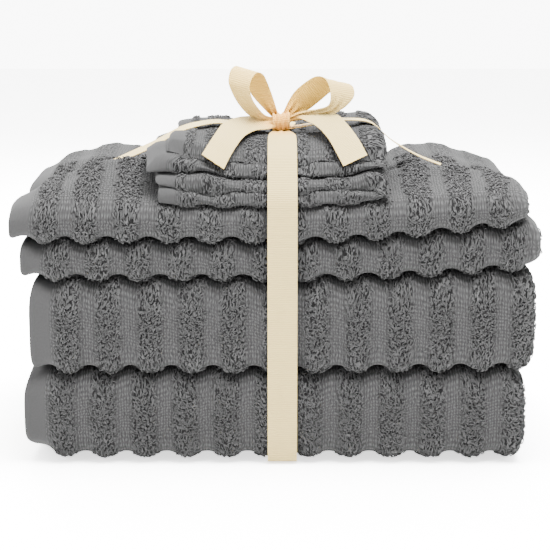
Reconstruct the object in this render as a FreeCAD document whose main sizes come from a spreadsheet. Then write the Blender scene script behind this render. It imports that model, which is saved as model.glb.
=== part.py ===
import FreeCAD, Part
import math
import os

import Sketcher

# A gift-tied stack of six folded towels: two bath, two hand and two washcloths,
# held by one ribbon that runs round the stack both ways and ends in a bow on top.
# +X is to the right along the folded length, +Y goes to the back and +Z is up.
# The origin is the middle of the face that the stack rests on.

doc = FreeCAD.newDocument("BathTowelSet")

# ---------------------------------------------------------------- driving sizes, mm
SIZES = {
    # bath towel: cut size, and how many layers it is folded into each way
    "bath_cut_length": 1372,
    "bath_cut_width": 686,
    "bath_folds_length": 4,
    "bath_folds_width": 3,
    "bath_height": 63,
    # hand towel
    "hand_cut_length": 711,
    "hand_cut_width": 406,
    "hand_folds_length": 2,
    "hand_folds_width": 2,
    "hand_height": 28,
    # washcloth
    "wash_cut_side": 330,
    "wash_folds": 2,
    "wash_height": 18,
    # how far each towel sits from the middle of the stack
    "bath_upper_shift": 5,
    "hand_lower_shift": 4,
    "hand_upper_shift": -4,
    "wash_shift": -7,
    "hand_front_setback": 6,
    "wash_lower_setback": 12,
    "wash_upper_setback": 22,
    # soft edges
    "bath_edge_round": 14,
    "hand_edge_round": 10,
    "wash_edge_round": 7,
    "wash_front_round": 1.8,
    "wash_droop_height": 14,
    "wash_droop_run": 50,
    "ply_gap": 0.3,
    # ribbon
    "ribbon_width": 20,
    "ribbon_thick": 0.5,
    "ribbon_gap": 0.4,
    "ribbon_round": 6,
    "tie_shift": 5,
    "tie_back": -32,
    # bow
    "knot_radius": 6,
    "knot_depth": 11,
    "knot_round": 5,
    "bow_gap": 0.6,
    "bow_gather": 7,
    "loop_left_reach": 30,
    "loop_left_round": 9,
    "loop_left_lean": 122,
    "loop_left_turn": 40,
    "loop_right_reach": 40,
    "loop_right_round": 10,
    "loop_right_lean": 24,
    "loop_right_turn": -24,
    "tail_flat": 12,
    "tail_bend": 30,
    "tail_end": 49,
    "tail_slope": 20,
    "tail_left_heading": 230,
    "tail_right_heading": 312,
}

sheet = doc.addObject("Spreadsheet::Sheet", "Sizes")
for row, (alias, value) in enumerate(SIZES.items(), start=1):
    sheet.set(f"A{row}", alias)
    sheet.set(f"B{row}", str(value))
    sheet.setAlias(f"B{row}", alias)
doc.recompute()


def size(expression):
    """The number that an expression over the sheet gives now."""
    return float(sheet.evalExpression(expression))


def named(expression):
    """The same expression, written so that another object can read the sheet."""
    for alias in sorted(SIZES, key=len, reverse=True):
        expression = expression.replace(f"<{alias}>", f"Sizes.{alias}")
    return expression


# ---------------------------------------------------------------- worked-out sizes
BATH_LONG = "<bath_cut_length> / <bath_folds_length>"
BATH_DEEP = "<bath_cut_width> / <bath_folds_width>"
HAND_LONG = "<hand_cut_length> / <hand_folds_length>"
HAND_DEEP = "<hand_cut_width> / <hand_folds_width>"
WASH_SIDE = "<wash_cut_side> / <wash_folds>"
FRONT = f"-({BATH_DEEP}) / 2"

BATH_TOP = "2 * <bath_height>"
HAND_TOP = f"{BATH_TOP} + 2 * <hand_height>"
WASH_TOP = f"{HAND_TOP} + 2 * <wash_height>"

HAND_FRONT = f"{FRONT} + <hand_front_setback>"
HAND_BACK = f"{HAND_FRONT} + {HAND_DEEP}"
WASH_LOW_FRONT = f"{FRONT} + <wash_lower_setback>"
WASH_LOW_BACK = f"{WASH_LOW_FRONT} + {WASH_SIDE}"
WASH_UP_FRONT = f"{FRONT} + <wash_upper_setback>"
WASH_UP_BACK = f"{WASH_UP_FRONT} + {WASH_SIDE}"

# the band round the sides lies on the pile, and the front-to-back band lies over it
SIDE_BAND_LOW = "<ribbon_gap> + <ribbon_thick> + <ribbon_gap> / 2"
SIDE_BAND_TOP = f"{WASH_TOP} + <ribbon_gap> + <ribbon_thick>"
FRONT_BAND_LOW = "<ribbon_gap> / 2"
FRONT_BAND_TOP = f"{SIDE_BAND_TOP} + <ribbon_gap> + <ribbon_thick>"
GROOVE_SIDE = f"{SIDE_BAND_LOW} + <ribbon_thick> + <ribbon_gap>"
GROOVE_FRONT = f"{FRONT_BAND_LOW} + <ribbon_thick> + <ribbon_gap>"
CLEAR = "(<ribbon_gap> + <ribbon_thick>)"

KNOT_HIGH = f"{FRONT_BAND_TOP} + <bow_gap> + <knot_radius>"


# ---------------------------------------------------------------- drawing helpers
def origin_plane(body, role):
    return next(f for f in body.Origin.OriginFeatures if f.Role == role)


def new_body(label):
    body = doc.addObject("PartDesign::Body", label)
    body.Label = label
    return body


def new_sketch(body, label, role):
    sketch = body.newObject("Sketcher::SketchObject", label)
    sketch.AttachmentSupport = [(origin_plane(body, role), "")]
    sketch.MapMode = "FlatFace"
    return sketch


def pin_point(sketch, line, end, across, up):
    """Hold one end of a line at two expressions, measured from the sketch's origin."""
    for kind, expression in (("DistanceX", across), ("DistanceY", up)):
        rule = Sketcher.Constraint(kind, -1, 1, line, end, size(named(expression)))
        index = sketch.addConstraint(rule)
        sketch.setExpression(f"Constraints[{index}]", named(expression))


def draw_outline(sketch, corners):
    """A closed outline of straight sides through corners given as expressions."""
    places = [FreeCAD.Vector(size(named(a)), size(named(b)), 0) for a, b in corners]
    count = len(places)
    for i in range(count):
        sketch.addGeometry(Part.LineSegment(places[i], places[(i + 1) % count]), False)
    for i in range(count):
        sketch.addConstraint(Sketcher.Constraint("Coincident", i, 2, (i + 1) % count, 1))
        pin_point(sketch, i, 1, *corners[i])


def pad_outline(body, name, role, corners, length):
    sketch = new_sketch(body, f"{name}_outline", role)
    draw_outline(sketch, corners)
    pad = body.newObject("PartDesign::Pad", f"{name}_pad")
    pad.Profile = sketch
    pad.Midplane = True
    pad.setExpression("Length", named(length))
    doc.recompute()
    return pad


def edges_along(shape, axis):
    """Names of the straight edges that run along an axis."""
    names = []
    for number, edge in enumerate(shape.Edges, start=1):
        direction = edge.tangentAt(edge.FirstParameter)
        if abs(getattr(direction, axis)) > 0.999:
            names.append(f"Edge{number}")
    return names


def folds_at(shape, place):
    """Names of the edges along X that lie at one depth, given as an expression."""
    depth = size(named(place))
    near = 0.01
    return [
        name for name in edges_along(shape, "x")
        if abs(shape.getElement(name).CenterOfMass.y - depth) < near
    ]


def faces_square_to(shape, axis):
    """Names of the flat faces whose normal lies along an axis."""
    names = []
    for number, face in enumerate(shape.Faces, start=1):
        if isinstance(face.Surface, Part.Plane):
            if abs(getattr(face.normalAt(0, 0), axis)) > 0.999:
                names.append(f"Face{number}")
    return names


def round_edges(body, name, base, edges, radius):
    fillet = body.newObject("PartDesign::Fillet", f"{name}_round")
    fillet.Base = (base, edges)
    fillet.setExpression("Radius", named(radius))
    doc.recompute()
    return fillet


# ---------------------------------------------------------------- towels
def folded_towel(label, length, front, back, bottom, top, edge_round):
    """A folded towel as a soft block: its section across the folds, padded along X."""
    body = new_body(label)
    section = [(front, bottom), (back, bottom), (back, top), (front, top)]
    pad = pad_outline(body, label, "YZ_Plane", section, length)
    every_edge = [f"Edge{number}" for number in range(1, len(pad.Shape.Edges) + 1)]
    round_edges(body, label, pad, every_edge, edge_round)
    return body


def drooping_washcloth(label, front, back, bottom, top):
    """The top washcloth: the tie and its own weight pull its front edge down."""
    body = new_body(label)
    section = [
        (front, bottom),
        (back, bottom),
        (back, top),
        (f"{front} + <wash_droop_run>", top),
        (front, f"{top} - <wash_droop_height>"),
    ]
    pad = pad_outline(body, label, "YZ_Plane", section, WASH_SIDE)
    rounded = round_edges(body, f"{label}_back", pad, folds_at(pad.Shape, back), "<wash_edge_round>")
    round_edges(body, f"{label}_front", rounded, folds_at(rounded.Shape, front), "<wash_front_round>")
    return body


bath_lower = folded_towel(
    "bath_towel_lower", BATH_LONG, FRONT, f"-({FRONT})", "0",
    "<bath_height> - <ply_gap>", "<bath_edge_round>",
)
bath_upper = folded_towel(
    "bath_towel_upper", BATH_LONG, FRONT, f"-({FRONT})", "<bath_height>",
    f"{BATH_TOP} - <ply_gap>", "<bath_edge_round>",
)
hand_lower = folded_towel(
    "hand_towel_lower", HAND_LONG, HAND_FRONT, HAND_BACK, BATH_TOP,
    f"{BATH_TOP} + <hand_height> - <ply_gap>", "<hand_edge_round>",
)
hand_upper = folded_towel(
    "hand_towel_upper", HAND_LONG, HAND_FRONT, HAND_BACK,
    f"{BATH_TOP} + <hand_height>", f"{HAND_TOP} - <ply_gap>", "<hand_edge_round>",
)
wash_lower = folded_towel(
    "washcloth_lower", WASH_SIDE, WASH_LOW_FRONT, WASH_LOW_BACK, HAND_TOP,
    f"{HAND_TOP} + <wash_height> - <ply_gap>", "<wash_edge_round>",
)
wash_upper = drooping_washcloth(
    "washcloth_upper", WASH_UP_FRONT, WASH_UP_BACK, f"{HAND_TOP} + <wash_height>", WASH_TOP
)

bath_upper.setExpression("Placement.Base.x", named("<bath_upper_shift>"))
hand_lower.setExpression("Placement.Base.x", named("<hand_lower_shift>"))
hand_upper.setExpression("Placement.Base.x", named("<hand_upper_shift>"))
wash_lower.setExpression("Placement.Base.x", named("<wash_shift>"))
wash_upper.setExpression("Placement.Base.x", named("<wash_shift>"))


def ribbon_groove(body, name, role, corners, length):
    """A shallow channel under the bottom towel, where a band presses into the pile."""
    sketch = new_sketch(body, f"{name}_outline", role)
    draw_outline(sketch, corners)
    before = body.Shape.Volume
    groove = body.newObject("PartDesign::Pocket", name)
    groove.Profile = sketch
    groove.Midplane = True
    groove.setExpression("Length", named(length))
    doc.recompute()
    if not groove.Shape.Volume < before:
        raise SystemExit(f"{name} cuts nothing")


BAND_SIDE = "(<ribbon_width> / 2 + <ribbon_gap>)"
ribbon_groove(
    bath_lower, "groove_front_to_back", "XZ_Plane",
    [
        (f"<tie_shift> - {BAND_SIDE}", "-1"),
        (f"<tie_shift> + {BAND_SIDE}", "-1"),
        (f"<tie_shift> + {BAND_SIDE}", GROOVE_FRONT),
        (f"<tie_shift> - {BAND_SIDE}", GROOVE_FRONT),
    ],
    f"{BATH_DEEP} + 2",
)
ribbon_groove(
    bath_lower, "groove_side_to_side", "YZ_Plane",
    [
        (f"<tie_back> - {BAND_SIDE}", "-1"),
        (f"<tie_back> + {BAND_SIDE}", "-1"),
        (f"<tie_back> + {BAND_SIDE}", GROOVE_SIDE),
        (f"<tie_back> - {BAND_SIDE}", GROOVE_SIDE),
    ],
    f"{BATH_LONG} + 2",
)


# ---------------------------------------------------------------- ribbon bands
def ribbon_band(label, role, corners, skin_axis):
    """A closed band round the stack: a block of its outline, thinned to a skin."""
    body = new_body(label)
    pad = pad_outline(body, label, role, corners, "<ribbon_width>")
    bends = edges_along(pad.Shape, skin_axis)
    rounded = round_edges(body, label, pad, bends, "<ribbon_round>")
    skin = body.newObject("PartDesign::Thickness", f"{label}_skin")
    skin.Base = (rounded, faces_square_to(rounded.Shape, skin_axis))
    skin.setExpression("Value", named("<ribbon_thick>"))
    skin.Reversed = True
    doc.recompute()
    return body


front_band = ribbon_band(
    "ribbon_front_to_back", "YZ_Plane",
    [
        (f"{FRONT} - {CLEAR}", FRONT_BAND_LOW),
        (f"-({FRONT}) + {CLEAR}", FRONT_BAND_LOW),
        (f"-({FRONT}) + {CLEAR}", f"{BATH_TOP} - <bath_edge_round> / 2"),
        (f"max({HAND_BACK}; {WASH_UP_BACK}) + {CLEAR}", f"{HAND_TOP} - <hand_edge_round> / 4"),
        (f"{WASH_UP_BACK} + {CLEAR}", FRONT_BAND_TOP),
        (f"{WASH_UP_FRONT} + <wash_droop_run>", FRONT_BAND_TOP),
        (f"{WASH_UP_FRONT} - {CLEAR}", f"{FRONT_BAND_TOP} - <wash_droop_height>"),
        (f"{WASH_LOW_FRONT} - {CLEAR}", f"{HAND_TOP} + <wash_height>"),
        (f"{HAND_FRONT} - {CLEAR}", HAND_TOP),
        (f"{FRONT} - {CLEAR}", f"{BATH_TOP} - <bath_edge_round> / 2"),
    ],
    "x",
)
front_band.setExpression("Placement.Base.x", named("<tie_shift>"))

side_band = ribbon_band(
    "ribbon_side_to_side", "XZ_Plane",
    [
        (f"-({BATH_LONG}) / 2 - {CLEAR}", SIDE_BAND_LOW),
        (f"({BATH_LONG}) / 2 + {CLEAR}", SIDE_BAND_LOW),
        (f"({BATH_LONG}) / 2 + <bath_upper_shift> + {CLEAR}", "<bath_height>"),
        (f"({BATH_LONG}) / 2 + <bath_upper_shift> + {CLEAR}", f"{BATH_TOP} - <bath_edge_round> / 4"),
        (f"({HAND_LONG}) / 2 + <hand_lower_shift> + {CLEAR}", f"{BATH_TOP} + <hand_edge_round> / 2"),
        (f"({HAND_LONG}) / 2 + <hand_lower_shift> + {CLEAR}", f"{BATH_TOP} + <hand_height>"),
        (f"({HAND_LONG}) / 2 + <hand_upper_shift> + {CLEAR}", f"{HAND_TOP} + {CLEAR}"),
        (f"({WASH_SIDE}) / 2 + <wash_shift> + {CLEAR}", SIDE_BAND_TOP),
        (f"-({WASH_SIDE}) / 2 + <wash_shift> - {CLEAR}", SIDE_BAND_TOP),
        (f"-({HAND_LONG}) / 2 + <hand_upper_shift> - {CLEAR}", f"{HAND_TOP} + {CLEAR}"),
        (f"-({HAND_LONG}) / 2 + <hand_upper_shift> - {CLEAR}", f"{BATH_TOP} + <hand_height>"),
        (f"-({BATH_LONG}) / 2 - {CLEAR}", f"{BATH_TOP} - <bath_edge_round> / 4"),
    ],
    "y",
)
side_band.setExpression("Placement.Base.y", named("<tie_back>"))


# ---------------------------------------------------------------- bow
def place_on_knot(body, heading="0", pitch="0", roll="0"):
    """Put a body's origin on the knot's centre and turn its +X the way it leaves."""
    body.setExpression("Placement.Base.x", named("<tie_shift>"))
    body.setExpression("Placement.Base.y", named("<tie_back>"))
    body.setExpression("Placement.Base.z", named(KNOT_HIGH))
    turn = FreeCAD.Rotation(size(heading), size(pitch), size(roll))
    body.Placement = FreeCAD.Placement(body.Placement.Base, turn)


def corners_by_knot(shape):
    """Names of the short edges across the ribbon's thickness that face the knot."""
    thick = size(named("<ribbon_thick>"))
    near = size(named("<knot_radius> + <bow_gap> + <ribbon_thick>"))
    return [
        f"Edge{number}" for number, edge in enumerate(shape.Edges, start=1)
        if edge.Length < 1.5 * thick and edge.CenterOfMass.x < near
    ]


def ribbon_along(label, draw_path):
    """Ribbon swept along a path in the body's XZ plane, starting clear of the knot."""
    body = new_body(label)
    path = new_sketch(body, f"{label}_path", "XZ_Plane")
    draw_path(path)
    section = new_sketch(body, f"{label}_section", "YZ_Plane")
    section.AttachmentOffset = FreeCAD.Placement(
        FreeCAD.Vector(0, 0, size(named("<knot_radius> + <bow_gap>"))), FreeCAD.Rotation()
    )
    section.setExpression("AttachmentOffset.Base.z", named("<knot_radius> + <bow_gap>"))
    half_wide = "<ribbon_width> / 2"
    half_thick = "<ribbon_thick> / 2"
    draw_outline(section, [
        (f"-{half_wide}", f"-{half_thick}"),
        (half_wide, f"-{half_thick}"),
        (half_wide, half_thick),
        (f"-{half_wide}", half_thick),
    ])
    sweep = body.newObject("PartDesign::AdditivePipe", f"{label}_sweep")
    sweep.Profile = section
    sweep.Spine = path
    doc.recompute()
    # the corners beside the knot are cut back, where the ribbon gathers into it
    gathered = body.newObject("PartDesign::Chamfer", f"{label}_gather")
    gathered.Base = (sweep, corners_by_knot(sweep.Shape))
    gathered.setExpression("Size", named("<bow_gather>"))
    doc.recompute()
    return body


def arc_between(centre, radius, start, end):
    circle = Part.Circle(centre, FreeCAD.Vector(0, 0, 1), radius)
    return Part.ArcOfCircle(circle, start, end)


def loop_path(reach, bend):
    """A teardrop: out from the knot, round a large bend and back beside the start."""
    def draw(sketch):
        start = size(named("<knot_radius> + <bow_gap>"))
        out = size(named(f"<{reach}>"))
        turn = size(named(f"<{bend}>"))
        centre = FreeCAD.Vector(out, turn, 0)
        foot = FreeCAD.Vector(start, size(named("<ribbon_thick> + 2 * <bow_gap>")), 0)
        # the return leg runs from the tangent point on the bend to the foot
        away = foot - centre
        swing = math.acos(turn / away.Length)
        tangent_at = math.atan2(away.y, away.x) - swing
        meet = centre + FreeCAD.Vector(math.cos(tangent_at), math.sin(tangent_at), 0) * turn
        sketch.addGeometry(Part.LineSegment(
            FreeCAD.Vector(start, 0, 0), FreeCAD.Vector(out, 0, 0)), False)
        sketch.addGeometry(
            arc_between(centre, turn, -math.pi / 2, tangent_at % (2 * math.pi)), False)
        sketch.addGeometry(Part.LineSegment(meet, foot), False)
        rules = [
            ("Tangent", 0, 2, 1, 1),
            ("Tangent", 1, 2, 2, 1),
            ("Horizontal", 0),
        ]
        for rule in rules:
            sketch.addConstraint(Sketcher.Constraint(*rule))
        pin_point(sketch, 0, 1, "<knot_radius> + <bow_gap>", "0")
        pin_point(sketch, 2, 2, "<knot_radius> + <bow_gap>", "<ribbon_thick> + 2 * <bow_gap>")
        index = sketch.addConstraint(Sketcher.Constraint("Radius", 1, turn))
        sketch.setExpression(f"Constraints[{index}]", named(f"<{bend}>"))
        index = sketch.addConstraint(Sketcher.Constraint("DistanceX", -1, 1, 0, 2, out))
        sketch.setExpression(f"Constraints[{index}]", named(f"<{reach}>"))
    return draw


def tail_path(sketch):
    """Level over the pile, a bend over its front edge, then a straight slope down."""
    start = size(named("<knot_radius> + <bow_gap>"))
    flat = start + size(named("<tail_flat>"))
    bend = size(named("<tail_bend>"))
    slope = math.radians(size(named("<tail_slope>")))
    end = size(named("<tail_end>"))
    centre = FreeCAD.Vector(flat, -bend, 0)
    leave = FreeCAD.Vector(flat + bend * math.sin(slope), -bend + bend * math.cos(slope), 0)
    tip = leave + FreeCAD.Vector(math.cos(slope), -math.sin(slope), 0) * end
    sketch.addGeometry(
        Part.LineSegment(FreeCAD.Vector(start, 0, 0), FreeCAD.Vector(flat, 0, 0)), False)
    sketch.addGeometry(arc_between(centre, bend, math.pi / 2 - slope, math.pi / 2), False)
    sketch.addGeometry(Part.LineSegment(leave, tip), False)
    rules = [
        ("Tangent", 0, 2, 1, 2),
        ("Tangent", 1, 1, 2, 1),
        ("Horizontal", 0),
    ]
    for rule in rules:
        sketch.addConstraint(Sketcher.Constraint(*rule))
    pin_point(sketch, 0, 1, "<knot_radius> + <bow_gap>", "0")
    sizes = [
        (Sketcher.Constraint("Distance", 0, flat - start), "<tail_flat>"),
        (Sketcher.Constraint("Radius", 1, bend), "<tail_bend>"),
        (Sketcher.Constraint("Distance", 2, end), "<tail_end>"),
        (Sketcher.Constraint("Angle", 2, -slope), "-<tail_slope>"),
    ]
    for rule, expression in sizes:
        index = sketch.addConstraint(rule)
        sketch.setExpression(f"Constraints[{index}]", named(expression))


def bow_knot():
    """The pulled-tight knot: a short barrel whose axis runs front to back."""
    body = new_body("bow_knot")
    sketch = new_sketch(body, "knot_outline", "XZ_Plane")
    circle = Part.Circle(FreeCAD.Vector(0, 0, 0), FreeCAD.Vector(0, 0, 1), size(named("<knot_radius>")))
    sketch.addGeometry(circle, False)
    sketch.addConstraint(Sketcher.Constraint("Coincident", 0, 3, -1, 1))
    index = sketch.addConstraint(Sketcher.Constraint("Radius", 0, size(named("<knot_radius>"))))
    sketch.setExpression(f"Constraints[{index}]", named("<knot_radius>"))
    pad = body.newObject("PartDesign::Pad", "knot_pad")
    pad.Profile = sketch
    pad.Midplane = True
    pad.setExpression("Length", named("<knot_depth>"))
    doc.recompute()
    round_edges(body, "knot", pad, ["Edge1", "Edge3"], "<knot_round>")
    place_on_knot(body)


bow_knot()
# a rotation's three numbers are its yaw about Z, pitch about Y and roll about X
loop_left = ribbon_along("bow_loop_left", loop_path("loop_left_reach", "loop_left_round"))
place_on_knot(loop_left, "0", "-loop_left_lean", "loop_left_turn")
loop_right = ribbon_along("bow_loop_right", loop_path("loop_right_reach", "loop_right_round"))
place_on_knot(loop_right, "0", "-loop_right_lean", "loop_right_turn")
tail_left = ribbon_along("bow_tail_left", tail_path)
place_on_knot(tail_left, "tail_left_heading")
tail_right = ribbon_along("bow_tail_right", tail_path)
place_on_knot(tail_right, "tail_right_heading")

doc.recompute()

# ---------------------------------------------------------------- checks and files
for thing in doc.Objects:
    if "Invalid" in thing.State or "Error" in thing.State:
        raise SystemExit(f"{thing.Label} did not compute: {thing.State}")

os.makedirs("parts", exist_ok=True)
bodies = [thing for thing in doc.Objects if thing.TypeId == "PartDesign::Body"]
for body in bodies:
    if body.Shape.isNull() or not body.Shape.isValid() or len(body.Shape.Solids) != 1:
        raise SystemExit(f"{body.Label} is not one valid solid")
for body in bodies:
    body.Shape.exportStep(f"parts/{body.Label}.step")
    box = body.Shape.BoundBox
    print(f"{body.Label:22s} x {box.XMin:7.1f} {box.XMax:7.1f}  y {box.YMin:7.1f} {box.YMax:7.1f}"
          f"  z {box.ZMin:6.1f} {box.ZMax:6.1f}  {body.Shape.Volume / 1000:9.2f} cm3")
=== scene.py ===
# %% [markdown]
# A gift-tied stack of six ribbed terry towels. This lesson builds them in Blender around
# a frame that was designed in CAD. The frame gives every piece its place and the bow its
# hinges. Here each towel becomes a real folded cloth, and the ribbon a woven strip.

# %% Load the frame
import math

import bmesh
import bpy
import numpy as np
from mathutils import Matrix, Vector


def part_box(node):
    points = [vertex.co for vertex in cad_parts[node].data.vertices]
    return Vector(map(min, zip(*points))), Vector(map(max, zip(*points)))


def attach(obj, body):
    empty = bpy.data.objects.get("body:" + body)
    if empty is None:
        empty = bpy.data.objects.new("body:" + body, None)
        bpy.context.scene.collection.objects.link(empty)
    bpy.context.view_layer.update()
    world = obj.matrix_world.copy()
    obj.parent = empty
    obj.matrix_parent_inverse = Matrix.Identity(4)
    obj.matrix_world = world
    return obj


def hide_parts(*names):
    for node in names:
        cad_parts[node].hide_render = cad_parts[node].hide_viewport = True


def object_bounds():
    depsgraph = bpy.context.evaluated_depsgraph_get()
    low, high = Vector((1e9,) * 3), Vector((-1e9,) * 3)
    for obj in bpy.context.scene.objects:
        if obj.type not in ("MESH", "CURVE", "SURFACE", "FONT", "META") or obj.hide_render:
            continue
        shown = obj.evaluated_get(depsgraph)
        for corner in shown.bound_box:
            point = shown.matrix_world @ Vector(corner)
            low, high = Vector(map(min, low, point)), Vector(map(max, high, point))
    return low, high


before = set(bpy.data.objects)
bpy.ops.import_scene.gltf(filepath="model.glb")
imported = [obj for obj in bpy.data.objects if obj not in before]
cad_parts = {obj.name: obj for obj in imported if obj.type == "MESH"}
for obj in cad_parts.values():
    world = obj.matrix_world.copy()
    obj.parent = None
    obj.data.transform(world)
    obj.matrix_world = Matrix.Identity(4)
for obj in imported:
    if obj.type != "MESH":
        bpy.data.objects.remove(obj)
CAD_BOX = [list(corner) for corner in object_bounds()]
MM = 0.001
print("frame nodes:", len(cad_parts), "box (m):", CAD_BOX)

# %% [markdown]
# Blender works in linear light, but colours are easiest to choose as the hex values that
# a screen shows. One function turns sRGB hex into linear. Another adds a shader node, sets
# it up, links its inputs and hands back its outputs.

# %% Colour and node helpers
def linear(hex_colour):
    """Red, green, blue and alpha in linear light from an sRGB hex value."""
    channels = [int(hex_colour[i:i + 2], 16) / 255 for i in (1, 3, 5)]
    return [c / 12.92 if c <= 0.04045 else ((c + 0.055) / 1.055) ** 2.4 for c in channels] + [1.0]


def add_node(tree, kind, inputs, **settings):
    """Adds a node with its settings. inputs gives each socket a value or a link."""
    node = tree.nodes.new(kind)
    for name, value in settings.items():
        setattr(node, name, value)
    for socket, value in inputs.items():
        if isinstance(value, bpy.types.NodeSocket):
            tree.links.new(value, node.inputs[socket])
        else:
            node.inputs[socket].default_value = value
    return node.outputs


print("middle grey in linear light:", round(linear("#808080")[0], 3))

# %% [markdown]
# The camera stands about a metre in front of the stack, a little above it, with a long
# lens. It looks down about ten degrees, so the top towel's upper face just shows.

# %% Camera
CAMERA_DISTANCE = 0.9715
CAMERA_HEIGHT = 0.3113
CAMERA_TILT = 10.45
CAMERA_LENS = 96.807
front = CAD_BOX[0][1]
camera_data = bpy.data.cameras.new("camera")
camera_data.sensor_width = 36
camera_data.lens = CAMERA_LENS
camera = bpy.data.objects.new("camera", camera_data)
bpy.context.scene.collection.objects.link(camera)
camera.location = (0, front - CAMERA_DISTANCE, CAMERA_HEIGHT)
camera.rotation_euler = (math.radians(90 - CAMERA_TILT), 0, 0)
bpy.context.scene.camera = camera
print("camera to stack (m):", CAMERA_DISTANCE, "lens (mm):", round(camera_data.lens, 1))

# %% [markdown]
# A product shot on white: a big soft light high in front, a weaker fill from the left and
# one from behind that rims the humps of the top towel.

# %% Soft lights
def area_light(name, place, aim, side, watts):
    data = bpy.data.lights.new(name, "AREA")
    data.shape = "SQUARE"
    data.size = side
    data.energy = watts
    lamp = bpy.data.objects.new(name, data)
    bpy.context.scene.collection.objects.link(lamp)
    lamp.location = place
    reach = [a - p for a, p in zip(aim, place)]
    across = math.hypot(reach[0], reach[1])
    lamp.rotation_euler = (math.pi / 2 + math.atan2(reach[2], across), 0,
                           math.atan2(reach[1], reach[0]) - math.pi / 2)


middle = (0, 0, 0.12)
area_light("key softbox", (0.25, -0.25, 1.9), middle, 1.3, 380)
area_light("fill softbox", (-1.5, -0.9, 0.8), middle, 1.0, 40)
area_light("back softbox", (-0.2, 1.3, 1.4), middle, 1.0, 120)

# %% [markdown]
# The floor is a wide sheet of white paper that runs to the horizon. It also glows. That
# stands for the extra light a studio throws on it to keep it white, and it lifts the
# shadows under the lowest towel.

# %% Floor
FLOOR_HALF = 6.0
floor_mesh = bpy.data.meshes.new("floor")
corners = [(-1, -1), (1, -1), (1, 1), (-1, 1)]
floor_mesh.from_pydata([(x * FLOOR_HALF, y * FLOOR_HALF, 0) for x, y in corners], [], [(0, 1, 2, 3)])
floor = bpy.data.objects.new("floor", floor_mesh)
bpy.context.scene.collection.objects.link(floor)
paper = bpy.data.materials.new("white seamless paper")
paper.use_nodes = True
sheet_white = paper.node_tree.nodes["Principled BSDF"]
sheet_white.inputs["Base Color"].default_value = linear("#ffffff")
sheet_white.inputs["Roughness"].default_value = 0.9
sheet_white.inputs["Emission Color"].default_value = linear("#ffffff")
sheet_white.inputs["Emission Strength"].default_value = 1.6
floor_mesh.materials.append(paper)
print("floor (m):", 2 * FLOOR_HALF, "square")

# %% [markdown]
# The surround is white too, and brighter towards the back, so the horizon melts into the
# paper while the towels still get soft light from the front.

# %% Surround
world = bpy.data.worlds.new("studio")
world.use_nodes = True
surround = world.node_tree
direction = add_node(surround, "ShaderNodeTexCoord", {})["Generated"]
towards_back = add_node(surround, "ShaderNodeSeparateXYZ", {0: direction})["Y"]
brightness = add_node(
    surround, "ShaderNodeMapRange",
    {"Value": towards_back, "From Min": -0.7, "From Max": 0.5, "To Min": 2.2, "To Max": 9.4},
    interpolation_type="SMOOTHSTEP")["Result"]
surround.links.new(brightness, surround.nodes["Background"].inputs["Strength"])
surround.nodes["Background"].inputs["Color"].default_value = linear("#ffffff")
bpy.context.scene.world = world
print("surround:", world.name)

# %% [markdown]
# The towels are cotton terry woven in stripes: every 28 mm a 16 mm rib of tall loops
# stands beside a flat stripe of short ones. Folded cloth is one continuous sheet, so the
# mesh is one too. A first path folds the sheet lengthwise into a pack of layers, and a
# second path folds that pack across. Each path is a polyline with rounded turns, and a
# point of the cloth is found by going so far along both. This gives true folds at the
# right, hems at the left and a smooth wrap at the front, which a block can't give.

# %% Fold paths
TURN_STEPS = 24


def straight(start, end, step=2.0):
    """A straight run of points, without its last one."""
    count = max(2, int(math.dist(start, end) / step))
    return [(start[0] + (end[0] - start[0]) * i / count,
             start[1] + (end[1] - start[1]) * i / count) for i in range(count)]


def turn(centre, half_height, depth, rising, power=2.0):
    """Half a rounded turn bulging to +a for depth > 0, from low to high if rising."""
    points = []
    for i in range(TURN_STEPS + 1):
        angle = -math.pi / 2 + math.pi * i / TURN_STEPS
        across = math.copysign(abs(math.cos(angle)) ** (2 / power), math.cos(angle))
        up = math.copysign(abs(math.sin(angle)) ** (2 / power), math.sin(angle))
        points.append((centre[0] + depth * across, centre[1] + half_height * up))
    return points if rising else points[::-1]


class Path:
    """A polyline that gives places and left-hand normals by distance along it."""

    def __init__(self, points):
        spots = np.array(points, float)
        keep = np.r_[True, np.linalg.norm(np.diff(spots, axis=0), axis=1) > 1e-6]
        self.spots = spots[keep]
        steps = np.linalg.norm(np.diff(self.spots, axis=0), axis=1)
        self.along = np.r_[0, np.cumsum(steps)]
        self.length = self.along[-1]
        slope = np.gradient(self.spots, self.along, axis=0)
        slope /= np.linalg.norm(slope, axis=1)[:, None]
        self.normals = np.stack([-slope[:, 1], slope[:, 0]], 1)

    def at(self, distance):
        place = [np.interp(distance, self.along, self.spots[:, k]) for k in (0, 1)]
        normal = [np.interp(distance, self.along, self.normals[:, k]) for k in (0, 1)]
        size = np.hypot(*normal)
        return place[0], place[1], normal[0] / size, normal[1] / size


print("steps in a turn:", TURN_STEPS)

# %% [markdown]
# Four ways of folding cover the set. Bath towels are folded in four lengthwise, then in
# three like a letter. Hand towels and washcloths are folded in half, then in half again
# like a book. The wide power curves at the fronts are flatter than a circle, as a heavy
# pack of cloth is.

# %% Ways of folding
def quarters(long, ply):
    """Folded in half and in half again: hems at the left, nested folds at the right."""
    return Path(
        straight((0, .5 * ply), (long - 2 * ply, .5 * ply))
        + turn((long - 2 * ply, 2 * ply), 1.5 * ply, 1.5 * ply, True, 2.3)
        + straight((long - 2 * ply, 3.5 * ply), (ply, 3.5 * ply))
        + turn((ply, 3 * ply), .5 * ply, -.5 * ply, False)
        + straight((ply, 2.5 * ply), (long - 2 * ply, 2.5 * ply))
        + turn((long - 2 * ply, 2 * ply), .5 * ply, .5 * ply, False)
        + straight((long - 2 * ply, 1.5 * ply), (2, 1.5 * ply)))


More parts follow.
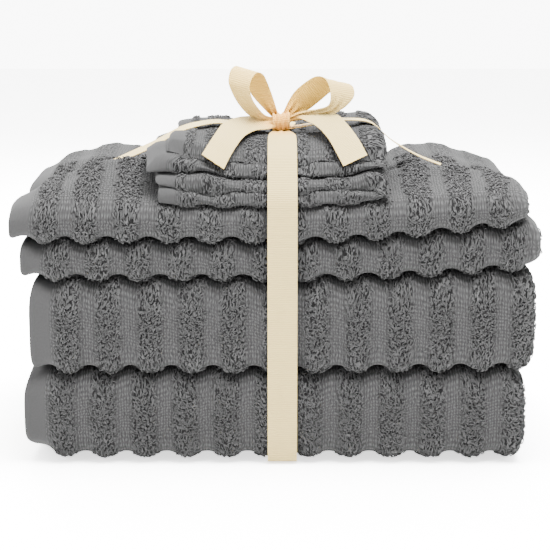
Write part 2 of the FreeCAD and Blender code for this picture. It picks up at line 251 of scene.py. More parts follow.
def halves(long, ply):
    """Folded in half once."""
    return Path(
        straight((0, .5 * ply), (long - ply, .5 * ply))
        + turn((long - ply, ply), .5 * ply, .5 * ply, True)
        + straight((long - ply, 1.5 * ply), (1, 1.5 * ply)))


def letter_fold(deep, pack, reach):
    """The pack folded in three with one smooth wrap at the front (low a)."""
    back = deep / 2 - pack
    nose = -deep / 2 + reach + pack / 2
    return Path(
        straight((nose + 4, 1.5 * pack), (back, 1.5 * pack))
        + turn((back, pack), .5 * pack, .5 * pack, False)
        + straight((back, .5 * pack), (nose, .5 * pack))
        + turn((nose, 1.5 * pack), pack, -reach, True, 5.0)
        + straight((nose, 2.5 * pack), (deep / 2 - 3, 2.5 * pack)))


def book_fold(deep, pack, reach):
    """The pack folded in half with the fold at low a."""
    nose = -deep / 2 + reach + pack / 2
    return Path(
        straight((deep / 2 - 1, .5 * pack), (nose, .5 * pack))
        + turn((nose, pack), .5 * pack, -reach, True, 4.2)
        + straight((nose, 1.5 * pack), (deep / 2 - 4, 1.5 * pack)))


print("flat width of a pack 343 mm wide (mm):", round(quarters(343, 5.2).length))

# %% [markdown]
# Soft stacks have no flat planes. The surface between two neighbours is described by a
# few heights over the plan, joined by smooth curves. Each towel is then squeezed between
# its lower and its upper surface, so neighbours always fit each other. The two bands of
# ribbon cross over TIE_X and TIE_Y, where they press a valley into the top towel.

# %% Smooth surfaces from a few heights
def smooth_line(knots, values, wanted):
    """Cubic curve through values (one row for each knot), read at wanted."""
    knots = np.array(knots, float)
    values = np.array(values, float)
    slopes = np.gradient(values, knots, axis=0)
    wanted = np.clip(wanted, knots[0], knots[-1])
    cell = np.clip(np.searchsorted(knots, wanted) - 1, 0, len(knots) - 2)
    width = knots[cell + 1] - knots[cell]
    u = (wanted - knots[cell]) / width
    if values.ndim == 1:
        low, high, rise_low, rise_high = values[cell], values[cell + 1], slopes[cell], slopes[cell + 1]
    else:
        each = np.arange(len(wanted))
        low, high = values[cell, each], values[cell + 1, each]
        rise_low, rise_high = slopes[cell, each], slopes[cell + 1, each]
    return ((2 * u**3 - 3 * u**2 + 1) * low + (u**3 - 2 * u**2 + u) * width * rise_low
            + (3 * u**2 - 2 * u**3) * high + (u**3 - u**2) * width * rise_high)


def surface(xs, ys, heights):
    """A function of x and y. heights has one row for each y."""
    def read(x, y):
        x, y = np.ravel(x), np.ravel(y)
        rows = np.array([smooth_line(xs, row, x) for row in heights])
        return smooth_line(ys, rows, y)
    return read


def bump(x, centre, width):
    """A smooth hill, 1 at its centre and nearly 0 two widths away."""
    return np.exp(-((x - centre) / width) ** 2)


print("a bump one width from its centre:", round(float(bump(1.0, 0.0, 1.0)), 2))

# %% [markdown]
# The ribs run across every towel at one pitch. Where they meet the towel below at the
# front edge, they press scallops into it.

# %% Ribs, seams and ground
RIB_PITCH = 28.1
RIB_FIRST = 26


def ribs(along, first=RIB_FIRST):
    """1 on a tall rib, 0 on the low stripe between two."""
    wave = 0.5 + 0.5 * np.cos(2 * np.pi * (along - first) / RIB_PITCH)
    u = np.clip((wave - 0.05) / 0.62, 0, 1)
    return u * u * (3 - 2 * u)


def swell(along):
    """A smooth wave, 1 at the middle of each tall rib."""
    return 0.5 + 0.5 * np.cos(2 * np.pi * (along - RIB_FIRST) / RIB_PITCH)


NODES = {name: [[v / MM for v in corner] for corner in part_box(name)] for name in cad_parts}
FRONT = -113.0
TIE_X = 5
TIE_Y = -32


def scallops(x, y, left):
    """The dips that a towel's ribs press into the towel below, at the front edge only."""
    return swell(x - left) * bump(np.minimum(y - FRONT, 60), 0, 26)


def seam(level, right_rise, left):
    """Between two towels: nearly flat, higher at the right, dipping at the ribs above."""
    def read(x, y):
        x, y = np.ravel(x), np.ravel(y)
        rise = right_rise * np.clip((x - 20) / 150, 0, 1) ** 1.6
        tied = 1.5 * bump(x, TIE_X, 16) * (y < 0)
        return level + 2.2 + rise - 4.2 * scallops(x, y, left) - 1.6 * bump(y, FRONT, 7) - tied
    return read


def ground(x, y):
    """The underside of the lowest towel: on the floor at the ribs, lifted between them."""
    x, y = np.ravel(x), np.ravel(y)
    left = NODES["bath_towel_lower"][0][0]
    lifted = 4.0 * (1 - swell(x - left)) * bump(np.minimum(y - FRONT, 60), 0, 20)
    return 1.5 + lifted + 9 * bump(x, left, 16) * bump(np.minimum(y - FRONT, 60), 0, 30)


print("ribs (mm): one every", RIB_PITCH)

# %% [markdown]
# The top hand towel is the least flat. The side band presses a valley across it, so it
# humps up in front of the band and behind it, and the washcloths hold its middle down.
# Its heights stand in rows from front to back, with columns from left to right.

# %% Top of the hand towels
TOP_X = [-182, -172, -160, -145, -128, -110, -92, -60, 5, 60, 82, 105, 125, 142, 158, 168, 175]
TOP_Y = [-112, -100, -85, -68, -52, -42, -22, -10, 30, 65, 88, 103]
HAND_TOP = surface(TOP_X, TOP_Y, [
    [171, 173, 174, 174, 175, 175, 175, 174, 174, 176, 177, 178, 179, 180, 180, 179, 176],
    [175, 177, 179, 180, 180, 180, 179, 177, 177, 179, 181, 183, 184, 185, 185, 184, 180],
    [177, 180, 184, 187, 189, 188, 184, 181, 181, 182, 184, 187, 189, 190, 190, 189, 184],
    [177, 182, 187, 191, 196, 198, 194, 182, 182, 183, 189, 193, 194, 194, 193, 191, 185],
    [176, 180, 187, 193, 200, 204, 201, 183, 182, 184, 195, 200, 198, 195, 191, 188, 182],
    [171, 174, 179, 183, 188, 194, 200, 184, 182, 184, 195, 196, 190, 185, 181, 179, 174],
    [171, 174, 179, 183, 188, 194, 200, 184, 182, 184, 195, 196, 190, 185, 181, 179, 174],
    [177, 180, 187, 192, 195, 197, 200, 184, 182, 184, 196, 200, 196, 191, 187, 184, 179],
    [183, 187, 194, 198, 201, 202, 198, 184, 182, 184, 196, 203, 202, 196, 192, 190, 184],
    [184, 188, 195, 199, 203, 203, 196, 184, 182, 184, 195, 203, 203, 199, 194, 191, 185],
    [180, 184, 190, 194, 197, 196, 191, 183, 181, 183, 190, 195, 195, 192, 188, 184, 179],
    [172, 175, 178, 181, 183, 182, 180, 176, 175, 176, 180, 183, 183, 182, 179, 176, 172]])
print("height of the hand towels' hump (mm):", float(HAND_TOP(-110, -52)[0]))

# %% [markdown]
# The washcloths slope up from their front edge to the knot, and the two bands press a
# cross into them. The surface between them lies just over half way up.

# %% Top of the washcloths
WASH_X = [-92, -82, -70, -48, -20, 5, 26, 48, 62, 72, 79]
WASH_Y = [-105, -90, -76, -64, -52, -42, -22, -10, 30, 60, 74]
WASH_TOP = surface(WASH_X, WASH_Y, [
    [207, 211, 212, 209, 206, 204, 206, 208, 210, 212, 210],
    [209, 213, 214, 211, 207, 206, 208, 209, 211, 213, 212],
    [213, 218, 219, 215, 210, 210, 211, 213, 214, 217, 216],
    [216, 222, 223, 218, 214, 215, 216, 218, 219, 222, 220],
    [215, 221, 224, 222, 219, 219, 220, 223, 224, 226, 223],
    [209, 214, 220, 224, 222, 220, 221, 224, 226, 226, 221],
    [209, 214, 220, 225, 222, 220, 221, 225, 227, 226, 221],
    [215, 220, 225, 228, 226, 223, 226, 230, 231, 230, 224],
    [216, 221, 224, 226, 224, 222, 224, 228, 230, 228, 222],
    [211, 217, 220, 221, 219, 218, 220, 223, 225, 224, 218],
    [203, 209, 212, 213, 211, 210, 212, 215, 217, 216, 211]])


def wash_middle(x, y):
    x, y = np.ravel(x), np.ravel(y)
    return 0.54 * WASH_TOP(x, y) + 0.46 * HAND_TOP(x, y) + 1.2 * np.sin(x / 9.0 + 0.6)


print("height of the washcloths by the knot (mm):", float(WASH_TOP(5, -32)[0]))

# %% [markdown]
# The sheet itself is a closed mesh. Its outer and inner skins lie half a cloth's
# thickness to each side of the folded middle surface. Tall ribs are thicker than the low
# stripes, and the woven hem is thinnest. The grid is fine where the cloth shows and
# coarse where it lies hidden between layers.

# %% Cloth grid and thickness
HEM = 14.0
SELVEDGE = 4.0


def value_noise(u, v, cell, seed):
    """Smooth noise from -1 to 1 whose blobs are about one cell wide."""
    table = np.random.default_rng(seed).uniform(-1, 1, (256, 256))
    u, v = u / cell, v / cell
    iu, iv = np.floor(u).astype(int), np.floor(v).astype(int)
    fu, fv = u - iu, v - iv
    fu, fv = fu * fu * (3 - 2 * fu), fv * fv * (3 - 2 * fv)
    a = table[iu % 256, iv % 256] * (1 - fu) + table[(iu + 1) % 256, iv % 256] * fu
    b = table[iu % 256, (iv + 1) % 256] * (1 - fu) + table[(iu + 1) % 256, (iv + 1) % 256] * fu
    return a * (1 - fv) + b * fv


def grid_lines(path, spans, coarse):
    """Distances along a path: coarse steps, but each (start, end, step) span finer."""
    lines = list(np.arange(0, path.length, coarse))
    for start, end, step in spans:
        start, end = max(0, start), min(path.length, end)
        lines = [d for d in lines if not start < d < end]
        lines += list(np.linspace(start, end, max(2, int((end - start) / step) + 1)))
    bends = np.where(np.diff(path.along) < 1.2)[0]
    lines += [path.along[i] for i in bends[::3]]
    lines += [d for step in (0.5, 1.1, 1.8) for d in (step, path.length - step)]
    lines = np.unique(np.round(lines + [0, path.length], 2))
    keep = np.r_[True, np.diff(lines) > 0.45]
    lines = lines[keep]
    lines[-1] = path.length
    return lines


def edge_near(distance, total, width):
    """0 within width of either end of the cloth, 1 further in."""
    inset = np.minimum(distance, total - distance)
    u = np.clip((inset - width + 1.0) / 2.0, 0, 1)
    return u * u * (3 - 2 * u)


print("woven hem (mm):", HEM, "selvedge (mm):", SELVEDGE)

# %% [markdown]
# Every soft piece becomes a mesh in the same way. Its UV map holds the place of each point
# on the flat cloth, so a woven pattern keeps its real size round every fold. A few numbers
# on the points tell the material where the ribs, the hems and the loops are.

# %% A mesh piece with cloth coordinates
def new_piece(name, points, faces, flat, attributes):
    """A smooth mesh object in metres from points in mm, with cloth coordinates in mm."""
    mesh = bpy.data.meshes.new(name)
    mesh.from_pydata((points * MM).tolist(), [], faces.tolist())
    uv = mesh.uv_layers.new(name="cloth")
    corner = np.array([loop.vertex_index for loop in mesh.loops])
    uv.data.foreach_set("uv", (flat * MM)[corner].ravel().astype(np.float32))
    for label, values in attributes.items():
        layer = mesh.attributes.new(label, "FLOAT", "POINT")
        layer.data.foreach_set("value", values.astype(np.float32))
    work = bmesh.new()
    work.from_mesh(mesh)
    bmesh.ops.recalc_face_normals(work, faces=work.faces)
    volume = work.calc_volume(signed=True)
    work.to_mesh(mesh)
    work.free()
    mesh.shade_smooth()
    piece = bpy.data.objects.new(name, mesh)
    bpy.context.scene.collection.objects.link(piece)
    print(f"{name}: {len(faces)} faces, {abs(volume) * 1e6:.1f} cm3")
    return piece


def grid_quads(index):
    """Four corners for each cell of a grid of point numbers."""
    return np.stack([index[:-1, :-1], index[1:, :-1], index[1:, 1:], index[:-1, 1:]], -1).reshape(-1, 4)


print("1 mm of cloth in scene units:", MM)

# %% [markdown]
# One class makes both parts of a towel: the sheet with its two skins and its rim, and the
# loops that stand on it. A loop is a short arc of soft yarn, set at a random angle, so a
# rib gets the curly grain of terry.

# %% The folded cloth
class Cloth:
    """A terry cloth folded by first in (u, h), then as a pack by second in (v, z)."""

    def __init__(self, first, second, pack, place, shape, thick, ribs_on_first, hem_share=0.85,
                 loop_share=1.0):
        self.first, self.second, self.pack = first, second, pack
        self.place, self.shape, self.thick, self.ribs_on_first = place, shape, thick, ribs_on_first
        self.hem_share, self.loop_share = hem_share, loop_share

    def masks(self, s, t):
        """How far a point is on a tall rib, and how far it is on terry and not on a hem."""
        pairs = [(s, self.first.length), (t, self.second.length)]
        (along, long), (aside, wide) = pairs if self.ribs_on_first else pairs[::-1]
        terry = edge_near(along, long, HEM) * edge_near(aside, wide, SELVEDGE)
        return ribs(along) * terry, terry

    def at(self, s, t, side, lift=0.0):
        """Points on one skin, lifted off it by so many mm. Side -1 is the skin that shows."""
        rib, terry = self.masks(s, t)
        rough = value_noise(s, t, 3.2, 3) + 0.6 * value_noise(s, t, 8.0, 4)
        pile = terry * (0.15 + 0.75 * rib) + 0.15 * rib * rough
        inset = np.minimum(np.minimum(s, self.first.length - s), np.minimum(t, self.second.length - t))
        rounded_edge = np.sqrt(np.clip(1 - (1 - np.clip(inset / 1.6, 0, 1)) ** 2, 0.04, 1))
        woven = self.thick / 2 * (self.hem_share + (1 - self.hem_share) * terry)
        half = side * (woven * rounded_edge + pile + lift)
        u, h, nu, nh = self.first.at(s)
        v, z, nv, nz = self.second.at(t)
        offset = self.pack / 2 - (h + half * nh)
        return np.stack(self.shape(*self.place(u + half * nu, v + offset * nv, z + offset * nz)), 1)

    def sheet(self, name, spans, coarse=8.0):
        """The closed cloth. spans says where its grid is fine, along each path."""
        s_lines = grid_lines(self.first, spans[0], coarse)
        t_lines = grid_lines(self.second, spans[1], coarse)
        s, t = [lines.ravel() for lines in np.meshgrid(s_lines, t_lines, indexing="ij")]
        count = len(s)
        index = np.arange(count).reshape(len(s_lines), len(t_lines))
        points = np.concatenate([self.at(s, t, side) for side in (1, -1)])
        rim = np.concatenate([index[:-1, 0], index[-1, :-1], index[:0:-1, -1], index[0, :0:-1]])
        after = np.roll(rim, -1)
        quads = grid_quads(index)
        faces = np.concatenate([quads, quads[:, ::-1] + count,
                                np.stack([rim, after, after + count, rim + count], 1)[:, ::-1]])
        flat = np.tile(np.stack([s, t] if self.ribs_on_first else [t, s], 1), (2, 1))
        rib, terry = self.masks(s, t)
        masks = {"rib": np.tile(rib, 2), "terry": np.tile(terry, 2), "loop": np.zeros(2 * count)}
        return new_piece(name, points, faces, flat, masks)

    def loops(self, name, areas, seed, pressed):
        """Terry loops on the ribs: arcs of thick soft yarn at random places and angles."""
        draw = np.random.default_rng(seed)
        s, t = [], []
        for s_low, s_high, t_low, t_high, room in areas:
            number = int((s_high - s_low) * (t_high - t_low) / room)
            s.append(draw.uniform(s_low, s_high, number))
            t.append(draw.uniform(t_low, t_high, number))
        s, t = np.concatenate(s), np.concatenate(t)
        rib = self.masks(s, t)[0]
        kept = draw.uniform(0, 1, len(s)) < rib ** 1.5
        s, t = s[kept], t[kept]
        free = ~pressed(self.at(s, t, -1))
        s, t = s[free], t[free]
        angle = draw.uniform(0, 2 * np.pi, len(s))
        span = draw.uniform(0.8, 1.4, len(s))
        tall = draw.uniform(0.45, 1.1, len(s)) * self.loop_share
        ring, arc = 3, np.array([-1.0, -0.75, 0.0, 0.75, 1.0])
        rise = np.array([-0.2, 0.62, 1.0, 0.62, -0.2])
        drift = draw.uniform(-0.7, 0.7, (2, len(s)))
        spine, over = [], []
        for a, r in zip(arc, rise):
            ss = s + span * a * np.cos(angle) + drift[0] * max(r, 0)
            tt = t + span * a * np.sin(angle) + drift[1] * max(r, 0)
            spine.append(self.at(ss, tt, -1, tall * r))
            over.append(self.at(ss, tt, -1, tall * r + 0.3))
        spine, over = np.array(spine), np.array(over)
        up = over - spine
        up /= np.linalg.norm(up, axis=2)[..., None]
        ahead = np.gradient(spine, axis=0)
        ahead /= np.linalg.norm(ahead, axis=2)[..., None]
        beside = np.cross(ahead, up)
        beside /= np.linalg.norm(beside, axis=2)[..., None]
        outward = np.cross(beside, ahead)
        yarn = draw.uniform(0.4, 0.54, len(s))[None, :, None]
        rings = [spine + yarn * (np.cos(c) * beside + np.sin(c) * outward)
                 for c in np.arange(ring) * 2 * np.pi / ring]
        points = np.array(rings).transpose(2, 1, 0, 3).reshape(-1, 3)
        one = np.arange(len(arc) * ring).reshape(len(arc), ring)
        one = grid_quads(np.concatenate([one, one[:, :1]], 1))
        faces = (np.arange(len(s))[:, None, None] * len(arc) * ring + one).reshape(-1, 4)
        each = len(arc) * ring
        flat = np.repeat(np.stack([s, t] if self.ribs_on_first else [t, s], 1), each, 0)
        # Painted shade: the loop number falls towards each loop's foot, and the material darkens the
        # colour there.
        glow = np.tile(np.repeat(0.45 + 0.55 * np.clip(rise, 0, 1) ** 1.5, ring), len(s))
        glow *= np.repeat(draw.uniform(0.8, 1.0, len(s)), each)
        masks = {"rib": np.ones(len(points)), "terry": np.ones(len(points)), "loop": glow}
        return new_piece(name, points, faces, flat, masks)


print("ribs across a towel 343 mm wide:", int((343 - RIB_FIRST) / RIB_PITCH) + 1)

# %% [markdown]
# The four large towels lie on each other with their hems at the left and their smooth
# wraps at the front. Each is squeezed between the surfaces below and above it. The side
# band pulls its ends in, and its corners round off.

# %% Shape of the large towels
def between(low, high, nominal, ends, corner_pull):
    """Squeezes nominal height between two surfaces and rounds the towel's ends."""
    left, right = ends

    def shape(x, y, z):
        share = z / nominal
        tilt = np.abs(2 * share - 1) ** 4.5
        x = x + 4.0 * tilt * bump(np.minimum(x - left, 60), 0, 22)
        x = x - 4.0 * tilt * bump(np.maximum(x - right, -60), 0, 16)
        pinch = np.exp(-((y - TIE_Y) / 20) ** 4)
        corner = bump(np.minimum(y - FRONT, 80), 0, 24)
        x = x + corner_pull * corner * (bump(x, left, 40) - bump(x, right, 40))
        x = x + 3.5 * pinch * (bump(x, left, 30) - bump(x, right, 30))
        inset = np.maximum(y - FRONT, 0)
        y = y - inset * 0.6 * np.exp(-((inset / 9) ** 2))
        y = y + 1.6 * bump(x, TIE_X, 15) * bump(np.minimum(y - FRONT, 60), 0, 26)
        base, roof = low(x, y), high(x, y)
        own = swell(x - left) * bump(np.minimum(y - FRONT, 60), 0, 24) * (1 - 0.6 * tilt)
        return x, y - 1.2 * own + 0.6, base + share * (roof - base)
    return shape


def lying(node):
    """Hems at the left, first fold at the right, wrapped front to back."""
    low_corner, high_corner = NODES[node]

    def place(u, v, z):
        middle_y = (low_corner[1] + high_corner[1]) / 2
        return low_corner[0] + u, middle_y + v, z
    return place


print("height of a seam at the middle (mm):", float(seam(63.5, 1.5, -171.5)(0, 0)[0]))

# %% [markdown]
# Now each large towel is folded and squeezed. Plies are thicker in the hand towels, which
# lie loose, than in the bath towels, which carry the stack. The grid is fine only over the
# front wrap, and over the whole top of the upper hand towel.

# %% Fold the large towels
towels = {}
cloths = {}
BATH_PLY = 5.2
HAND_PLY = 7.0
seams = {
    "bath": seam(63.5, 1.5, NODES["bath_towel_upper"][0][0]),
    "bath_hand": seam(126.5, 7.5, NODES["hand_towel_lower"][0][0]),
    "hands": seam(152.5, 13.0, NODES["hand_towel_upper"][0][0]),
}
LAYERS = [
    ("bath_towel_lower", ground, seams["bath"]),
    ("bath_towel_upper", seams["bath"], seams["bath_hand"]),
    ("hand_towel_lower", seams["bath_hand"], seams["hands"]),
    ("hand_towel_upper", seams["hands"], HAND_TOP),
]
for node, low, high in LAYERS:
    low_corner, high_corner = NODES[node]
    long = high_corner[0] - low_corner[0]
    deep = high_corner[1] - low_corner[1]
    ends = (low_corner[0], high_corner[0])
    if node.startswith("bath"):
        pack, first = 4 * BATH_PLY, quarters(long, BATH_PLY)
        second, nominal, thick = letter_fold(deep, pack, 19), 3 * pack, 4.0
        nose = second.length - deep + 19 + pack / 2 - 36
        top = nose + 46
    else:
        pack, first = 2 * HAND_PLY, halves(long, HAND_PLY)
        second, nominal, thick = book_fold(deep, pack, 13), 2 * pack, 5.4
        nose = second.length / 2
        top = nose + (220 if high is HAND_TOP else 34)
    corner_pull = {"bath": 0.8, "hand": 2.4}[node[:4]] + 1.2 * (high is HAND_TOP)
    shape = between(low, high, nominal, ends, corner_pull)
    cloth = Cloth(first, second, pack, lying(node), shape, thick, True)
    towels[node] = cloth.sheet(node + "_cloth", ([(0, long + 12, 1.65)], [(nose - 46, top, 1.65)]))
    areas = [(HEM, long + 9, nose - 44, min(top, nose + 60), 3.3 if high is HAND_TOP else 3.0)]
    if high is HAND_TOP:
        areas.append((HEM, long + 9, nose + 60, nose + 110, 4.5))
    cloths[node] = cloth, areas

# %% [markdown]
# A washcloth is a square folded in half towards the front, then in half again with that
# fold at the right. So each cloth shows two soft bulges at the front, and the pair shows
# four. The upper layers stand further back, which makes the slope the bow's tails lie on.

# %% Washcloths
WASH_PLY = 4.4


def wash_shape(low, high, nominal, ends, steps_back, hem_steps):
    """Squeezes a washcloth between two surfaces and sets its upper layers back."""
    left, right = ends

    def shape(x, y, z):
        share = z / nominal
        layer = np.abs(4 * share - 2 * np.floor(2 * np.clip(share, 0, 0.999)) - 1) ** 3.0
        at_left = bump(np.minimum(x - left, 60), 0, 30)
        x = x + at_left * (2.5 * layer + np.interp(share, [0.2, 0.4, 0.6, 0.8], hem_steps))
        tilt = np.abs(2 * share - 1) ** 3.0
        x = x - 6.0 * tilt * bump(np.maximum(x - right, -40), 0, 14)
        near = np.clip((20 - y) / 110, 0, 1)
        y = y + near * np.interp(share, [0.1, 0.4, 0.6, 0.9], steps_back)
        y = y - 1.8 * swell(x - left) * near * near
        x = x + 1.5 * np.sin(y / 17.0 + 3.0 * share) * at_left
        base, roof = low(x, y), high(x, y)
        wave = 2.3 * np.sin(x / 9.0 + 7 * share) * near * (1 - np.abs(2 * share - 1))
        return x, y, base + 0.3 + share * (roof - base - 0.6) + wave
    return shape


for node, low, high, steps_back, hem_steps in (
        ("washcloth_lower", HAND_TOP, wash_middle, [-1.5, -2.5, 2.5, 3.5], [9, 8, 4, 3]),
        ("washcloth_upper", wash_middle, WASH_TOP, [0.5, 2.0, 12.0, 17.0], [0, 0, 11, 12])):
    low_corner, high_corner = NODES[node]
    wide = high_corner[0] - low_corner[0]
    deep = high_corner[1] - low_corner[1]
    pack = 2 * WASH_PLY
    first = halves(deep, WASH_PLY)
    second = book_fold(wide, pack, 7)

    def place(u, v, z, low_corner=low_corner, high_corner=high_corner):
        return (low_corner[0] + high_corner[0]) / 2 - v, high_corner[1] - u, z

    shape = wash_shape(low, high, 2 * pack, (low_corner[0], high_corner[0]), steps_back,
                       hem_steps)
    mid = first.length / 2
    cloth = Cloth(first, second, pack, place, shape, 3.4, False, 1.0, 0.7)
    spans = [(mid - 90, mid + 90, 1.6)], [(0, second.length, 1.6)]
    towels[node] = cloth.sheet(node + "_cloth", spans)
    deep_in = 90 if high is WASH_TOP else 34
    areas = [(mid - deep_in, mid + 34, HEM, second.length - HEM, 3.2)]
    cloths[node] = cloth, areas

# %% [markdown]
# The ribbon is a woven strip 20 mm wide and under half a millimetre thick. Each run of it
# is drawn by its two edges: pairs of points that a smooth curve joins. Where the edges
# come closer than 20 mm the cloth gathers into pleats, as it does beside the knot.

# %% Ribbon strips
RIBBON = 20.0
RIBBON_THICK = 0.4
KNOT_AT = np.array([4.5, -33.5, 228.0])


def smooth_points(points, closed, step):
    """A smooth curve through the points, with about one point every step mm."""
    points = np.array(points, float)
    if closed:
        points = np.concatenate([points[-2:], points, points[:3]])
    gaps = np.linalg.norm(np.diff(points, axis=0), axis=1).reshape(len(points) - 1, -1)[:, 0]
    knots = np.r_[0, np.cumsum(np.maximum(gaps, 0.5))]
    start, end = (knots[2], knots[-3]) if closed else (knots[0], knots[-1])
    count = max(8, int((end - start) / step))
    wanted = np.linspace(start, end, count + 1)[:count if closed else count + 1]
    return np.stack([smooth_line(knots, points[:, k], wanted) for k in range(points.shape[1])], 1)


def strip(name, pairs, closed=False, step=1.2, across=12, pleat=1.0, waves=2.5, outside=0, glow=0.0):
    """A thin closed strip. A row of pairs holds its near edge x, y, z and far edge x, y, z."""
    rows = smooth_points(pairs, closed, step)
    near, far = rows[:, :3], rows[:, 3:]
    middle = (near + far) / 2
    if closed:
        tangent = np.roll(middle, -1, 0) - np.roll(middle, 1, 0)
    else:
        tangent = np.gradient(middle, axis=0)
    width = far - near
    normal = np.cross(tangent, width)
    normal /= np.maximum(np.linalg.norm(normal, axis=1)[:, None], 1e-9)
    gather = np.clip(1 - np.linalg.norm(width, axis=1) / RIBBON, 0, 1)
    w = np.linspace(0, 1, across + 1)
    along = np.r_[0, np.cumsum(np.linalg.norm(np.diff(middle, axis=0), axis=1))]
    spread = near[:, None] + width[:, None] * w[None, :, None]
    fold = pleat * 2.2 * gather[:, None] * np.sin(2 * np.pi * waves * w + 0.8)[None]
    skins = [spread + normal[:, None] * (fold + side * RIBBON_THICK / 2)[..., None] for side in (1, -1)]
    count, columns = len(rows), across + 1
    points = np.concatenate([skin.reshape(-1, 3) for skin in skins])
    index = np.arange(count * columns).reshape(count, columns)
    if closed:
        index = np.concatenate([index, index[:1]])
    quads = grid_quads(index)
    total = count * columns
    rims = []
    for edge, flip in ((index[:, 0], 1), (index[:, -1], -1)):
        rims.append(np.stack([edge[:-1], edge[1:], edge[1:] + total, edge[:-1] + total], 1)[:, ::flip])
    if not closed:
        for edge, flip in ((index[0], -1), (index[-1], 1)):
            rims.append(np.stack([edge[:-1], edge[1:], edge[1:] + total, edge[:-1] + total], 1)[:, ::flip])
    faces = np.concatenate([quads, quads[:, ::-1] + total] + rims)
    flat = np.stack([np.tile(w * RIBBON, (count, 1)), np.repeat(along[:, None], columns, 1)], -1)
    masks = {"inner": np.repeat([1.0, glow] if outside else [glow, 1.0], total),
             "by_knot": np.exp(-(np.linalg.norm(points - KNOT_AT, axis=1) / 15) ** 2)}
    ribbon = new_piece(name, points, faces, np.tile(flat.reshape(-1, 2), (2, 1)), masks)
    ribbon.data.set_sharp_from_angle(angle=math.radians(50))
    length = along[-1] + (np.linalg.norm(middle[-1] - middle[0]) if closed else 0)
    print(f"{name}: {length:.0f} mm long")
    return ribbon, length


def rounded(corners, radius):
    """A closed outline in a plane with its corners rounded, as points."""
    points = []
    for i, corner in enumerate(corners):
        before, after = corners[i - 1], corners[(i + 1) % len(corners)]
        near, away = math.dist(before, corner), math.dist(after, corner)
        reach = min(radius, near / 2.2, away / 2.2)
        start = [c + (b - c) * reach / near for c, b in zip(corner, before)]
        end = [c + (a - c) * reach / away for c, a in zip(corner, after)]
        for k in range(5):
            u = k / 4
            points.append([(1 - u)**2 * s + 2 * u * (1 - u) * c + u * u * e
                           for s, c, e in zip(start, corner, end)])
    dense = []
    for i, point in enumerate(points):
        after = points[(i + 1) % len(points)]
        gap = math.dist(point, after)
        for k in range(max(1, int(gap / 14))):
            share = k / max(1, int(gap / 14))
            dense.append([p + (a - p) * share for p, a in zip(point, after)])
    return dense


print("ribbon (mm):", RIBBON, "wide,", RIBBON_THICK, "thick")

# %% [markdown]
# Two bands go right round the stack. Each follows an outline a little outside the towels,
# taut over the humps. They narrow under the knot, where the ribbon is gathered.

# %% Outlines of the two bands
BAND_X = (NODES["ribbon_front_to_back"][0][0], NODES["ribbon_front_to_back"][1][0])
BAND_Y = (NODES["ribbon_side_to_side"][0][1], NODES["ribbon_side_to_side"][1][1])
front_outline = rounded([(-34, 222.0), (-56, 219.6), (-80, 209.5), (-98, 194.5), (-110, 182),
                         (-115.0, 150), (-115.2, 60), (-115.2, 0.6), (115.0, 0.6), (115.0, 150),
                         (108, 178), (80, 214), (60, 221), (30, 224.6), (-8, 225.0)], 9)
side_outline = rounded([(5, 222.8), (-14, 226.0), (-44, 228.4), (-66, 223.6), (-87, 211.5),
                        (-117, 198.4), (-150, 185.6), (-179.6, 172), (-179.2, 156),
                        (-171.4, 140), (-165, 112), (-169, 32),
                        (-166, 0.9), (166, 0.9), (169.6, 32), (174, 96), (180.2, 142), (178.6, 176.6),
                        (118, 197.4),
                        (102, 203.5), (82, 215.0), (68, 229.0), (44, 229.8), (24, 225.6)], 8)
ON_TOP = 150
front_pairs = []
for y, z in front_outline:
    squeezed = 4.5 * math.exp(-((y - TIE_Y) / 14) ** 2) * (z > ON_TOP)
    front_pairs.append([BAND_X[0] + squeezed, y, z, BAND_X[1] - squeezed, y, z])
side_pairs = []
for x, z in side_outline:
    squeezed = 3.5 * math.exp(-((x - TIE_X) / 12) ** 2) * (z > ON_TOP)
    lean = math.exp(-((x + 88) / 46) ** 2) * (z > ON_TOP)
    side_pairs.append([x, BAND_Y[0] + squeezed, z - 1.6 * lean, x, BAND_Y[1] - squeezed, z + 1.6 * lean])

print("outline points:", len(front_pairs), "and", len(side_pairs))

# %% [markdown]
# The bow has two loops and two tails, which all start in the knot. A loop's strip runs up,
# over and back down. A tail's runs out over the washcloths and ends square. The knot is
# one turn of the same ribbon, gathered tight.

# %% The bow
LOOP_LEFT = [
    [5, -31, 229, 3, -28, 227], [2, -31, 235, -8, -22, 236], [-1.6, -28, 245, -18, -19, 248],
    [-5, -28, 254, -22.6, -20, 259], [-8.5, -32, 261, -26, -23, 266], [-13, -39, 262.4, -29.6, -29, 266],
    [-16.6, -45, 258, -32, -34, 262], [-18, -47.5, 252.5, -32.6, -37.5, 256],
    [-16.6, -47, 246, -30.4, -37.5, 249.5], [-12.6, -43.5, 238.5, -24.6, -35, 239.5],
    [-7.4, -39, 232.5, -17.5, -33, 232.4], [1, -36, 229.5, -3, -32.5, 228]]
LOOP_RIGHT = [
    [5, -31, 230, 7.6, -29, 228], [9, -30, 240, 16, -25, 232.5], [14, -28.5, 248.6, 24, -20, 235.5],
    [22, -28, 255.6, 32, -18, 241.4], [29, -29.5, 259.4, 41, -19, 249],
    [34.6, -34, 258.6, 49.6, -24.5, 254.4],
    [37.4, -39, 255, 55, -30.5, 252.6], [38.6, -42.5, 250, 56, -35.4, 246.4],
    [38.8, -44, 244.6, 51, -38.4, 239.6], [36.5, -43.5, 240, 42, -39, 233.6],
    [28, -41.5, 237.4, 33, -38.8, 230.6], [18, -39, 235, 21, -37.4, 229.6], [7, -36, 230.6, 9, -34.4, 228]]
